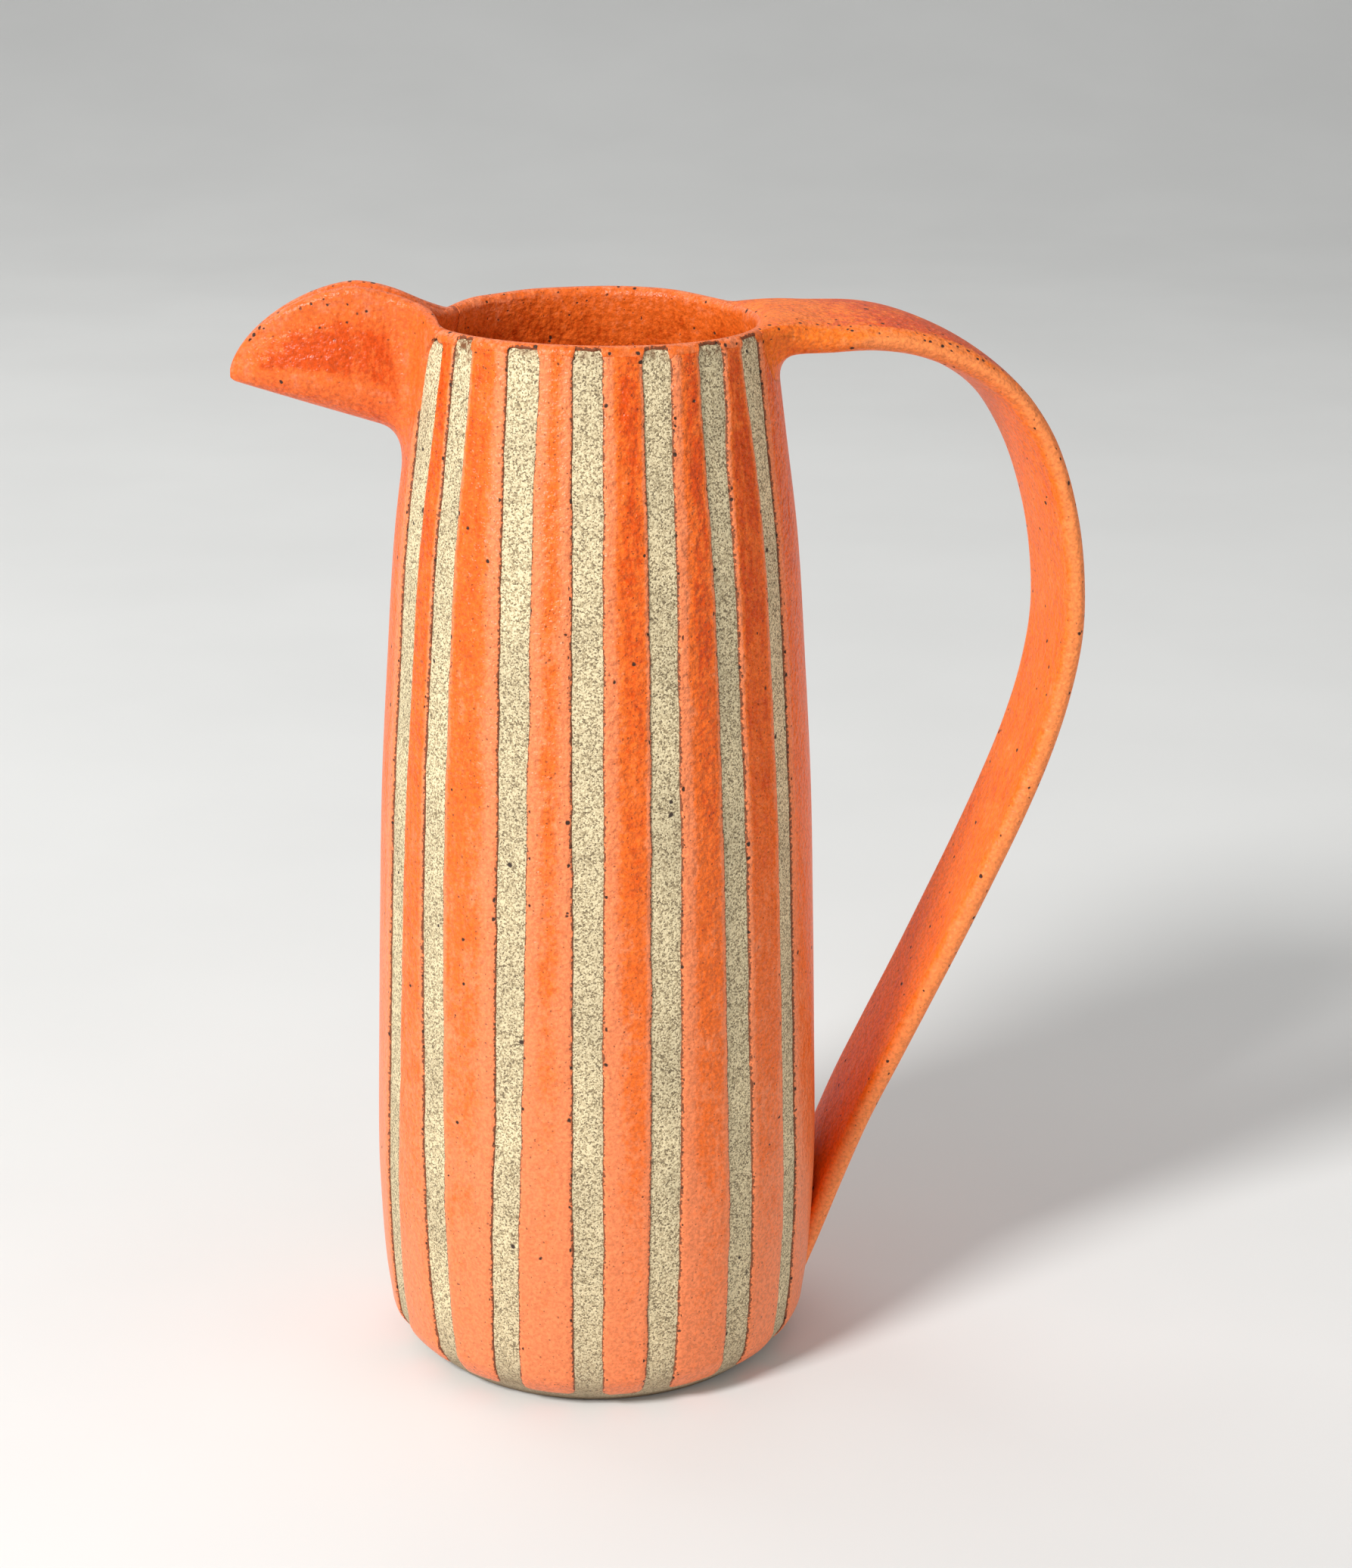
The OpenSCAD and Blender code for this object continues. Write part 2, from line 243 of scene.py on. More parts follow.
def sums(operation, *given):
    # one Math node, or a Vector Math node where a vector or a colour goes in
    wires = [each for each in given if isinstance(each, wire)]
    wide = len(wires) < len(given) and any(isinstance(each, tuple) for each in given)
    wide = wide or any(each.socket.type in ("VECTOR", "RGBA") for each in wires)
    made = wires[0].tree.nodes.new("ShaderNodeVectorMath" if wide else "ShaderNodeMath")
    made.operation = operation
    for socket, value in zip(made.inputs, given):
        feed(socket, value)
    return wire(made.outputs[0])


def node(tree, kind, **given):
    # a new node: small-letter names are its settings, capital ones its inputs, with _ for a space
    made = tree.nodes.new(kind)
    for key, value in given.items():
        if key[0].islower():
            setattr(made, key, value)
        else:
            feed(made.inputs[key.replace("_", " ")], value)
    return wire(made.outputs[0]) if made.outputs else None


def ramp(value, low, high, toLow=0, toHigh=1, smooth=True):
    return node(value.tree, "ShaderNodeMapRange", interpolation_type="SMOOTHSTEP" if smooth else "LINEAR",
        Value=value, From_Min=low, From_Max=high, To_Min=toLow, To_Max=toHigh)


def mixed(share, a, b):
    made = share.tree.nodes.new("ShaderNodeMix")
    made.data_type = "RGBA"
    for k, value in ((0, share), (6, a), (7, b)):  # 6 and 7 are its two colours
        feed(made.inputs[k], value)
    return wire(made.outputs[2])


def noise(vector, scale, detail=2, rough=0.5):
    return node(vector.tree, "ShaderNodeTexNoise", Vector=vector, Scale=scale, Detail=detail, Roughness=rough)


def cellsAt(vector, scale):
    # Voronoi cells, and a random red, green and blue for each
    cells = node(vector.tree, "ShaderNodeTexVoronoi", Vector=vector, Scale=scale)
    return cells, node(vector.tree, "ShaderNodeSeparateColor", Color=cells["Color"])


def newGroup(name, kind, inputs, outputs):
    # a node tree with named inputs and outputs, numbers where no kind follows a colon
    tree = bpy.data.node_groups.new(name, kind)
    for side, labels in (("INPUT", inputs), ("OUTPUT", outputs)):
        for label in labels:
            label, _, socket = label.partition(":")
            tree.interface.new_socket(label, in_out=side, socket_type="NodeSocket" + (socket or "Float"))
    return tree, node(tree, "NodeGroupInput")


def makeIronSpecks():
    # round specks in some of the cells, their outline a little bent
    tree, given = newGroup("ironSpecks", "ShaderNodeTree", ["Vector:Vector", "Cells", "Chance", "Size"], ["Mask"])
    bent = given["Vector"] + noise(given["Vector"], 900, 1)["Color"] * 0.0006
    cells, parts = cellsAt(bent, given["Cells"])
    size = given["Size"] * ramp(parts["Green"], 0, 1, 0.5, 1.2, False)
    near = ramp(cells["Distance"], size * 0.55, size, 1, 0)
    node(tree, "NodeGroupOutput", Mask=(parts["Red"] < given["Chance"]) * near)
    return tree


def makeGlazeSkin():
    # orange peel with a few pinholes over a slow undulation, and clouds of colour
    tree, given = newGroup("glazeSkin", "ShaderNodeTree", ["Vector:Vector", "Peel", "Pits"], ["Height", "Cloud"])
    place = given["Vector"]
    peel, slow = noise(place, given["Peel"], 2, 0.55), noise(place * (1, 1, 0.4), 170, 1)
    cells, parts = cellsAt(place, 260)
    pit = (parts["Blue"] < 0.12) * ramp(cells["Distance"], 0.08, 0.26, 1, 0)
    cloud = noise(place, 110, 4, 0.6) * 0.5 + noise(place, 720, 3, 0.75) * 0.6 - 0.05
    node(tree, "NodeGroupOutput", Height=peel * 2.3 + slow * 1.8 - pit * given["Pits"], Cloud=cloud)
    return tree


def makeGrog():
    # grains of fired clay: their shade, a mask of the dark ones and a height
    tree, given = newGroup("grogGrains", "ShaderNodeTree", ["Vector:Vector", "Grains"], ["Shade", "Dark", "Height"])
    place, grains = given["Vector"], given["Grains"]
    soft = node(tree, "ShaderNodeTexVoronoi", feature="SMOOTH_F1", Vector=place, Scale=grains, Smoothness=0.35)
    cells, parts = cellsAt(place, grains)
    fine, coarse = noise(place, grains * 1.7, 2, 0.6), noise(place, grains * 0.42, 3, 0.65)
    node(tree, "NodeGroupOutput", Shade=parts["Red"] * 0.5 + fine * 0.32 + coarse * 0.18,
        Dark=(parts["Green"] < 0.1) * ramp(cells["Distance"], 0.2, 0.6, 1, 0),
        Height=coarse * 0.9 - soft["Distance"] * 0.8)
    return tree


ironSpecks, glazeSkin, grogGrains = makeIronSpecks(), makeGlazeSkin(), makeGrog()


# materials
def newMaterial(name):
    material = bpy.data.materials.new(name)
    material.use_nodes = True
    material.node_tree.nodes.clear()
    return material, material.node_tree, node(material.node_tree, "ShaderNodeTexCoord")["Object"]


def shaded(tree, **inputs):
    node(tree, "ShaderNodeOutputMaterial", Surface=node(tree, "ShaderNodeBsdfPrincipled", **inputs))


def mark(tree, name):
    return node(tree, "ShaderNodeAttribute", attribute_name=name)["Fac"]


def levelOf(place):
    return node(place.tree, "ShaderNodeSeparateXYZ", Vector=place)["Z"]


def specksAt(place, cells, chance, size):
    return node(place.tree, "ShaderNodeGroup", node_tree=ironSpecks, Vector=place, Cells=cells,
        Chance=chance, Size=size)


glazeLook = settings(
    deep=(0.71, 0.073, 0.002, 1),
    middle=(0.93, 0.163, 0.017, 1),
    thin=(0.97, 0.262, 0.098, 1),
    burnt=(0.085, 0.033, 0.016, 1),
    iron=(0.05, 0.022, 0.012, 1),
    rough=0.34, gloss=0.33, relief=0.55, reliefDepth=0.0004,
    specks=0.06,  # share of the cells that hold one
    reliefAbove=(0.03, 0.17, 0.35, 1.1),  # the peel grows between two heights, from one strength to another
)


def makeGlaze(name, **changes):
    # marks: "pool" is how thick the glaze lies, "speck" how many specks show, "verge" is 1 at the coat's edge
    look = settings(glazeLook, **changes)
    material, tree, place = newMaterial(name)
    laid, speck, verge = (mark(tree, label) for label in ("pool", "speck", "verge"))
    skin = node(tree, "ShaderNodeGroup", node_tree=glazeSkin, Vector=place, Peel=620, Pits=0.6)
    # thick glaze is cloudy, and has run down in fine streaks
    streak = noise(place * (1, 1, 0.22), 520, 2, 0.6) - 0.5
    pool = laid + (skin["Cloud"] - 0.5) * (laid * 2.2 + 0.9) + streak * (laid * 1.6)
    colour = mixed(ramp(pool, 0, 0.5), look.thin, look.middle)
    colour = mixed(ramp(pool, 0.45, 1.3), colour, look.deep)
    colour = colour * ramp(noise(place, 1300, 2, 0.6), 0.3, 0.7, 0.8, 1.14)
    # a beaded brown line along the edges
    inside = (1 - verge) * 3 + (noise(place, 1500, 1) - 0.5) * 1.5
    burnt = ramp(inside, 0.17, 0.44, 0.82, 0)
    dots = sums("MAXIMUM", specksAt(place, 1000, look.specks, 0.26) * 0.55,
        specksAt(place, 470, speck * 0.95 + 0.03, 0.27))
    colour = mixed(dots, mixed(burnt, colour, look.burnt), look.iron)
    rough = ramp(skin["Cloud"], 0.3, 0.7, look.rough + 0.07, look.rough - 0.05)
    bump = node(tree, "ShaderNodeBump", Strength=ramp(levelOf(place), *look.reliefAbove) * look.relief,
        Distance=look.reliefDepth, Height=skin["Height"] - dots * 0.5)
    shaded(tree, Base_Color=colour, Roughness=sums("MAXIMUM", rough, sums("MAXIMUM", dots, burnt) * 0.62),
        IOR=1.45, Specular_IOR_Level=look.gloss, Normal=bump)
    return material


clayLook = settings(
    grains=2900, rough=0.82,
    # the two foot colours are painted shade: greyer clay near the foot, browner at the table
    footGrey=(0.32, 0.25, 0.16, 1), footBrown=(0.2, 0.125, 0.07, 1),
    fired=(0.2, 0.07, 0.02, 1), iron=(0.05, 0.03, 0.02, 1),
)


def makeStoneware(name, light, body, dark):
    material, tree, place = newMaterial(name)
    grog = node(tree, "ShaderNodeGroup", node_tree=grogGrains, Vector=place, Grains=clayLook.grains)
    colour = mixed(ramp(grog["Shade"], 0.3, 0.72), body, light)
    colour = mixed(ramp(grog["Shade"], 0.24, 0.42, 1, 0) * 0.92, colour, dark)
    colour = mixed(grog["Dark"] * 0.9, colour, dark)
    colour = colour * ramp(noise(place, 55, 3), 0.3, 0.7, 0.88, 1.08)
    # painted shade: the clay is greyer near the foot and browner at the table; it is fired dark where "verge" says so
    level = levelOf(place)
    colour = mixed(ramp(level, 0.001, 0.02, 0.62, 0), colour, clayLook.footGrey)
    colour = mixed(ramp(level, 0.0005, 0.003, 0.7, 0), colour, clayLook.footBrown)
    brown = mark(tree, "verge") * ramp(noise(place, 620, 3, 0.65), 0.4, 0.62)
    colour = mixed(brown, colour, clayLook.fired)
    colour = mixed(specksAt(place, 420, 0.035, 0.3), colour, clayLook.iron)
    bump = node(tree, "ShaderNodeBump", Strength=0.55, Distance=0.00025, Height=grog["Height"])
    shaded(tree, Base_Color=colour, Roughness=clayLook.rough, Normal=bump)
    return material


panelGlaze = makeGlaze("panelGlaze", specks=0.3, relief=0.95)
spoutGlaze = makeGlaze("spoutGlaze", thin=(0.86, 0.215, 0.085, 1), middle=(0.85, 0.15, 0.022, 1),
    deep=(0.67, 0.072, 0.003, 1))
handleGlaze = makeGlaze("handleGlaze", rough=0.43, relief=0.6, thin=(0.97, 0.27, 0.07, 1),
    middle=(0.96, 0.19, 0.012, 1))
# the glaze inside the jug has darker colours: painted shade inside
linerGlaze = makeGlaze("linerGlaze", specks=0.12, middle=(0.84, 0.15, 0.017, 1), deep=(0.52, 0.056, 0.003, 1))
bareStoneware = makeStoneware("bareStoneware", (0.89, 0.75, 0.47, 1), (0.46, 0.355, 0.195, 1), (0.17, 0.125, 0.07, 1))
footStoneware = makeStoneware("footStoneware", (0.86, 0.72, 0.47, 1), (0.47, 0.365, 0.21, 1), (0.16, 0.115, 0.065, 1))
print("materials made")

# bare wall
bareWall = settings(
    sink=0.25,  # how far the bare clay lies back between the coats
    columns=360, rows=120,
    # the wall's top dips for the spout's throat: half width in degrees, depth
    notch=(17, 24),
    innerNotch=(32, 27),
    underSpout=(33, 4),  # the top is flat this many degrees each side of the spout, and round this much further
    # where the clay is browner: height, and how much higher it is in full
    browned=(246.4, 2.4),
    brownedShare=0.6,
    brownStripe=(243, 4),
    brownStripeSide=(-47, 9, 5),  # the stripe's side, half width and fade, in degrees
)


def makeBareWall(given):
    angles = np.arange(given.columns) * 360 / given.columns
    share = np.linspace(0, 1, given.rows)[:, None]

    def heights(half, depth):
        top = lipStart - depth * np.sqrt(1 - bounded(apart(angles, spoutSide) / half) ** 2)
        return jug.slab + (top - jug.slab) * share

    z = heights(*given.notch)
    outer = turned(wallRadius(z) - given.sink * eased((z - jug.slab) / 3), angles, z)
    z = heights(*given.innerNotch)
    inner = turned(wallRadius(z) - jug.wall, angles, z)
    turn = np.radians(np.arange(15, 166, 15))[:, None]
    over = outer[-1] + (inner[-1] - outer[-1]) * ((1 - np.cos(turn)) / 2)[..., None]
    flat, fade = given.underSpout
    over[..., 2] += (lipRound - given.sink) * np.sin(turn) * eased((apart(angles, spoutSide) - flat) / fade)
    rings = np.vstack([outer, over, inner[::-1], outer[:1]])
    faces = gridFaces(len(rings), given.columns, closed=True)

    def above(low, rise):
        return eased((rings[..., 2] - low) / rise)

    middle, half, fade = given.brownStripeSide
    stripe = above(*given.brownStripe) * eased((half - apart(sideOf(rings), middle)) / fade)
    verge = np.maximum(given.brownedShare * above(*given.browned), stripe)
    wall = makePiece("bareWall", rings.reshape(-1, 3), faces, bareStoneware, {"verge": verge})
    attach(wall, "root")
    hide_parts("body_wall")
    return wall


wallPiece = makeBareWall(bareWall)
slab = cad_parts["base_slab"]
slab.material_slots[0].material = footStoneware
print("wall and slab made:", len(wallPiece.data.polygons))

# glaze panels
# stripe edges, in degrees from the camera's side: left and right, at the foot, half-way up and at the rim
stripes = [
    [(-72.5, -64.8), (-69.0, -61.2), (-70.2, -58.6)],
    [(-48.4, -41.6), (-51.2, -43.4), (-50.4, -42.6)],
    [(-28.8, -21.6), (-26.2, -18.5), (-28.8, -18.6)],
    [(-6.3, 1.3), (-6.2, 1.6), (-7.2, 1.9)],
    [(13.2, 20.9), (14.1, 21.9), (14.6, 22.8)],
    [(36.6, 44.6), (35.0, 42.3), (33.8, 41.6)],
    [(57.8, 64.8), (55.8, 62.2), (55.2, 63.6)],
    [(133.6, 141.0), (132.4, 140.2), (131.8, 140.4)],
    [(154.6, 162.2), (153.8, 161.6), (154.4, 163.0)],
    [(176.2, 184.0), (175.4, 183.4), (174.6, 183.2)],
    [(197.2, 204.6), (197.8, 205.6), (198.6, 206.8)],
    [(218.4, 226.2), (219.2, 227.0), (218.2, 226.4)],
    [(240.6, 248.0), (241.0, 248.8), (240.2, 248.6)],
]
panelCoat = settings(
    # named as the tree's inputs
    sizes={
        "Thickness": jug.glaze, "Sink": bareWall.sink,
        "Hidden Depth": 0.45,  # of the face against the clay
        "Edge Width": 1.7, "Wave": 0.26, "Foot Height": 2.9, "Top Height": lipStart, "Corner": 2.4,
        "Stripe Round": 0.25,
        "Stripe Top": 0.7,  # where the bare stripes end, from the top down
        "Notch Side": spoutSide + 360.0, "Notch Half": float(bareWall.notch[0]),
        "Notch Depth": float(bareWall.notch[1]), "Flare Start": 215.0, "Flare End": 247.0,
        "Radius": 50.0,  # at which widths are turned into degrees
    },
    rows=340,
    # each panel's pool, and how wide its thin margins are at the left and the right; the second and third panels have
    # less pool, a painted highlight where the light falls on them
    pools=[
        (0.75, 0.8, 1.3), (0.62, 1.6, 5.0), (0.45, 4.0, 4.0), (0.85, 4.6, 1.6), (0.95, 4.2, 1.6), (0.9, 1.8, 2.2),
        (0.6, 3.0, 3.0), (0.7, 2.5, 3.0), (0.6, 3.0, 2.0), (0.8, 2.0, 3.5), (0.6, 3.0, 3.0), (0.7, 2.0, 2.5),
        (0.5, 4.0, 4.0),
    ],
    # how far the left and right edges of some panels swing aside at the rim
    flares={1: (1.0, 0.0), 3: (0.5, 0.0), 5: (0.65, 0.0), 6: (1.8, -1.9), 13: (0.0, -0.6)},
)
edgeInputs = [side + part for side in ("Left ", "Right ") for part in ("Foot", "Waist", "Rim", "Margin", "Flare")]


def makeWallForm():
    # the wall's outside, only for the coats to lie on
    z = np.linspace(2, lipStart + 1, 320)[:, None]
    rings = turned(wallRadius(z), np.arange(0, 360, 0.75), z)
    faces = gridFaces(*rings.shape[:2], closed=True)
    return addObject("wallForm", plainMesh("wallForm", rings.reshape(-1, 3), faces))


def makeCoatTree(sizes):
    # Geometry Nodes: a coat of glaze between two stripe edges, laid on a surface of revolution
    labels = ["Wall:Object", "Material:Material", "Columns:Int", "Rows:Int", "Pool", "Seed", *edgeInputs, *sizes]
    tree, given = newGroup("glazeCoat", "GeometryNodeTree", labels, ["Geometry:Geometry"])
    foot, top, corner, stripeRound = (given[key] for key in ("Foot Height", "Top Height", "Corner", "Stripe Round"))
    seed, wave = given["Seed"], given["Wave"]
    grid = node(tree, "GeometryNodeMeshGrid", Size_X=1, Size_Y=1, Vertices_X=given["Columns"],
        Vertices_Y=given["Rows"])
    place = node(tree, "ShaderNodeSeparateXYZ", Vector=node(tree, "GeometryNodeInputPosition"))
    across, up = place["X"] + 0.5, place["Y"] + 0.5
    # columns crowd towards both edges, rows towards foot and rim
    near = 0.5 - sums("ABSOLUTE", across - 0.5)
    crowd = sums("POWER", near * 2, 2.2) * 0.5
    onRight = across > 0.5
    share = (1 - onRight) * crowd + onRight * (1 - crowd)
    rise = up - sums("SINE", up * (2 * math.pi)) * (0.6 / (2 * math.pi))
    height = rise * (top - foot) + foot
    perDegree = given["Radius"] * (math.pi / 180)
    flare = ramp(height, given["Flare Start"], given["Flare End"])

    def least(a, b):
        return sums("MINIMUM", a, b)

    def arc(x):
        # a quarter circle's height
        return sums("SQRT", 1 - x * x)

    def wavy(along, offset, amount):
        spot = node(tree, "ShaderNodeCombineXYZ", X=along, Y=seed + offset, Z=seed * 3.7)
        return ((noise(spot, 0.09, 1) - 0.5) * 3.4 + (noise(spot, 0.42, 1) - 0.5) * 1.6) * amount

    def edge(side, aside):
        # an edge's angle: a curve through its foot, waist and rim, moved aside by some millimetres
        low, waist, high = (given[side + part] for part in (" Foot", " Waist", " Rim"))
        high = waist * (rise * 4 * (1 - rise)) + high * (rise * (rise * 2 - 1))
        bowed = low * ((1 - rise) * (1 - rise * 2)) + high
        return bowed + (given[side + " Flare"] * flare + aside) / perDegree

    def margin(far, wide):
        return ramp(far, wide * 0.35, wide * 1.3)

    # both edges close in over the bare stripes under the rim
    past = sums("MAXIMUM", stripeRound - (top - given["Stripe Top"] - height), 0)
    close = stripeRound * (1 - arc(least(past / stripeRound, 1)))
    left, right = edge("Left", wavy(height, 11.3, wave) - close), edge("Right", wavy(height, 47.9, wave) + close)
    angle = left + share * (right - left)
    span = (right - left) * perDegree
    fromLeft, fromRight = share * span, (1 - share) * span
    fromSide = least(fromLeft, fromRight)
    # round lower corners, and a lower edge that wanders
    lift = corner * (1 - arc(1 - least(fromSide, corner) / corner))
    lift = (lift + wavy(angle * perDegree, 83.1, wave * 1.2)) * sums("POWER", 1 - rise, 6)
    # the top dips behind the spout
    off = least(sums("ABSOLUTE", angle - given["Notch Side"]) / given["Notch Half"], 1)
    level = height + lift - given["Notch Depth"] * arc(off) * rise
    # rays from outside find the wall
    turn = sums("RADIANS", angle)
    out = node(tree, "ShaderNodeCombineXYZ", X=sums("SINE", turn), Y=sums("COSINE", turn) * -1)
    start = out * 0.08 + node(tree, "ShaderNodeCombineXYZ", Z=level * mm)
    hit = node(tree, "GeometryNodeRaycast", Source_Position=start, Ray_Direction=out * -1, Ray_Length=0.07,
        Target_Geometry=node(tree, "GeometryNodeObjectInfo", Object=given["Wall"])["Geometry"])
    # a round edge at both sides and the foot
    fromEdge = least(fromSide, rise * (top - foot))
    step = 1 - least(fromEdge / given["Edge Width"], 1)
    thick = (given["Thickness"] + given["Sink"]) * arc(step) - given["Sink"]
    marks = {
        # the pool grows with height: the glaze is thicker higher up, and the lower panels are paler as a painted sheen
        "pool": margin(fromLeft, given["Left Margin"]) * margin(fromRight, given["Right Margin"]) * given["Pool"]
        * ramp(rise, 0.05, 0.9, 0.05, 1.15, False),
        "verge": ramp(fromEdge, 0, 3, 1, 0, False),
        "speck": sums("MAXIMUM", ramp(fromEdge, 0.4, 1.3, 1, 0) * 0.6, ramp(level, 244, 248)),
    }
    kept = grid["Mesh"]
    for label, value in marks.items():
        kept = node(tree, "GeometryNodeStoreNamedAttribute", data_type="FLOAT", domain="POINT", Geometry=kept,
            Name=label, Value=value)

    def coat(depth):
        return node(tree, "GeometryNodeSetPosition", Geometry=kept, Position=hit["Hit Position"] + out * (depth * mm))

    # the face against the clay meets the front all round
    within = (near > 0.0005) * ((up > 0.0005) * (up < 0.9995))
    under = within * (given["Hidden Depth"] * -1) + (1 - within) * thick
    front = node(tree, "GeometryNodeSetShadeSmooth", Geometry=coat(thick))
    both = node(tree, "GeometryNodeJoinGeometry", Geometry=front)
    feed(both.socket.node.inputs[0], node(tree, "GeometryNodeFlipFaces", Mesh=coat(under)))
    sealed = node(tree, "GeometryNodeMergeByDistance", Geometry=both, Distance=0.000001)
    real = node(tree, "GeometryNodeRealizeInstances", Geometry=sealed)
    node(tree, "NodeGroupOutput",
        Geometry=node(tree, "GeometryNodeSetMaterial", Geometry=real, Material=given["Material"]))
    return tree


def grow(name, tree, values):
    # what a Geometry Nodes tree makes, as a plain mesh object
    seed = addObject(name, bpy.data.meshes.new(name))
    modifier = seed.modifiers.new("grow", "NODES")
    modifier.node_group = tree
    for item in tree.interface.items_tree:
        if item.item_type == "SOCKET" and item.in_out == "INPUT":
            modifier[item.identifier] = values[item.name]
    seed.update_tag()
    bpy.context.view_layer.update()
    grown = bpy.data.meshes.new_from_object(seed.evaluated_get(bpy.context.evaluated_depsgraph_get()))
    seed.modifiers.remove(modifier)
    old, seed.data = seed.data, grown
    bpy.data.meshes.remove(old)
    grown.name = name
    place = np.zeros(len(grown.vertices) * 3)
    grown.vertices.foreach_get("co", place)
    grown.vertices.foreach_set("co", (wobbled(place.reshape(-1, 3) / mm) * mm).ravel())
    return seed


def splitCorners(piece):
    # corner quads are cut from the corner itself, so that front and back share no cut
    form = bmesh.new()
    form.from_mesh(piece.data)
    for corner in [v for v in form.verts if len(v.link_edges) == 2]:
        beside = {v for edge in corner.link_edges for v in edge.verts}
        for face in [f for f in corner.link_faces if len(f.verts) == 4]:
            bmesh.utils.face_split(face, corner, next(v for v in face.verts if v not in beside))
    form.to_mesh(piece.data)
    form.free()


def makePanels(given):
    form, tree = makeWallForm(), makeCoatTree(given.sizes)
    made = []
    for i, (pool, leftMargin, rightMargin) in enumerate(given.pools):
        left = [edges[1] for edges in stripes[i]]
        right = [edges[0] for edges in stripes[(i + 1) % len(stripes)]]
        if i == len(stripes) - 1:
            right = [angle + 360 for angle in right]
        wide = right[1] - left[1]
        leftFlare, rightFlare = given.flares.get(i + 1, (0.0, 0.0))
        values = dict(given.sizes, Wall=form, Material=panelGlaze, Rows=given.rows, Pool=pool, Seed=5.0 + 7.3 * i,
            Columns=19 if wide < 30 else 45 if wide < 55 else 61)
        values.update(zip(edgeInputs, (*left, leftMargin, leftFlare, *right, rightMargin, rightFlare)))
        piece = grow("glazePanel%d" % (i + 1), tree, values)
        splitCorners(piece)
        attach(piece, "root")
        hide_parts("glaze_panel_%d" % (i + 1))
        made.append(piece)
    bpy.data.objects.remove(form)
    return made


panels = makePanels(panelCoat)
print("glaze panels made:", [len(p.data.polygons) for p in panels])

# spout
spout = settings(
    reach=82.5, end=82.35,  # where its nose is closed
    crownReach=54, crownRise=7.3, tipDrop=13, foldDrop=24, foldStart=50.2,
    width=16, lipsWidth=11.6, thick=3.8, noseRound=1.52, noseLift=0.6,
    crownBend=1.62, riseBend=1.6, taperBend=0.7, leastNose=0.1, leastOpen=0.2, waist=0.9,
    shoulder=0.3, lipHeight=0.25, bedHeight=0.15,  # shares of the height
    steps=(14, 34, 16, 26, 12),  # points in each part of the half section
    rows=70, blendRows=16, rootSink=0.02,
    # outline on the wall: place in the section, degrees from the spout's middle, distance along the skin
    root=[
        (-0.5, -9.5, 215.8), (0, 0, 214), (0.5, 9.5, 215.8), (1, 15.6, 221), (1.3, 18.6, 228), (1.6, 19.6, 237),
        (1.8, 21.2, 243.5), (1.92, 24.4, 246.6), (2, 27.4, 248.5), (2.5, 29.5, 251.14), (3, 29.5, lipEnd),
        (3.3, 28.4, 259.3), (3.65, 25, 266.3), (4, 18.5, 273.3), (4.5, 10, 277.8), (5, 0, 279.3), (5.5, -10, 277.8),
    ],
    blendReach=[(0, 49), (1, 49), (1.8, 49.5), (2.4, 50), (3, 48), (3.5, 45.5), (4, 45), (5, 45)],
    # how far the blend keeps to its first direction, on each side
    farPull=[(0, 0.42), (1.5, 0.42), (1.85, 0.25), (2.2, 0.25), (2.5, 0.38), (5, 0.42)],
    nearPull=[(0, 0.42), (1.5, 0.42), (2.2, 0.56), (2.8, 0.56), (3.6, 0.47), (5, 0.42)],
)


def spoutPoint(u, t):
    # (across, height) at distance u from the axis and place t in the half section: 0 to 1 under the fold,
    # to 2 up the side, to 3 over the lip, to 4 down the channel, to 5 its bed
    given = spout
    reach, crownReach, nose, bend = (given[key] for key in ("reach", "crownReach", "noseRound", "crownBend"))
    root = wallRadius(jug.rim - jug.glaze) - 2 * (jug.wall + jug.glaze)
    crown, tip = jug.rim + given.crownRise, jug.rim - given.tipDrop
    along = (u - given.foldStart) / (reach - given.foldStart)
    low = jug.rim - given.foldDrop + (given.foldDrop - given.tipDrop - nose) * along
    low = low + given.noseLift * (nose - np.sqrt(nose**2 - np.clip(u - reach + nose, 0, nose) ** 2))
    rise = bounded((crownReach - u) / (crownReach - root))
    fall = bounded((u - crownReach) / (reach - crownReach))
    top = np.where(u < crownReach, crown - given.crownRise * rise ** given.riseBend,
        tip + (crown - tip) * (1 - fall**bend) ** (1 / bend))
    taper = np.maximum(given.leastNose, (1 - bounded(along) ** 2) ** given.taperBend)
    foldHalf, lipHalf = given.width / 2 * taper, given.lipsWidth / 2 * taper
    thick = np.minimum(given.thick, (1 - given.leastOpen) * lipHalf)
    shoulder = low + given.shoulder * (top - low)
    crest = top - np.minimum(thick / 2, given.lipHeight * (top - low))
    bed = low + np.minimum(given.thick, given.bedHeight * (top - low))
    bendAt = bed + given.bedHeight * (top - low)

    def side(z):
        x = bounded((z - shoulder) / (crest - shoulder))
        return foldHalf * (1 - x) ** 2 * (1 + 2 * x) + lipHalf * (given.waist * 3 * x**2 * (1 - x) + x**3)

    share = [bounded(t - k) for k in range(5)]
    fold, lip, floor = math.pi / 2 * share[0], math.pi * share[2], math.pi / 2 * share[4]
    up, down = shoulder + (crest - shoulder) * share[1], crest + (bendAt - crest) * share[3]
    parts = [
        (foldHalf * np.sin(fold), low + (shoulder - low) * (1 - np.cos(fold))),
        (side(up), up),
        (side(crest) - thick / 2 + thick / 2 * np.cos(lip), crest + (top - crest) * np.sin(lip)),
        (side(down) - thick, down),
        ((side(bendAt) - thick) * np.cos(floor), bendAt - (bendAt - bed) * np.sin(floor)),
    ]
    y, z = parts[0]
    for k in range(1, 5):
        y, z = np.where(t > k, parts[k][0], y), np.where(t > k, parts[k][1], z)
    return y, z


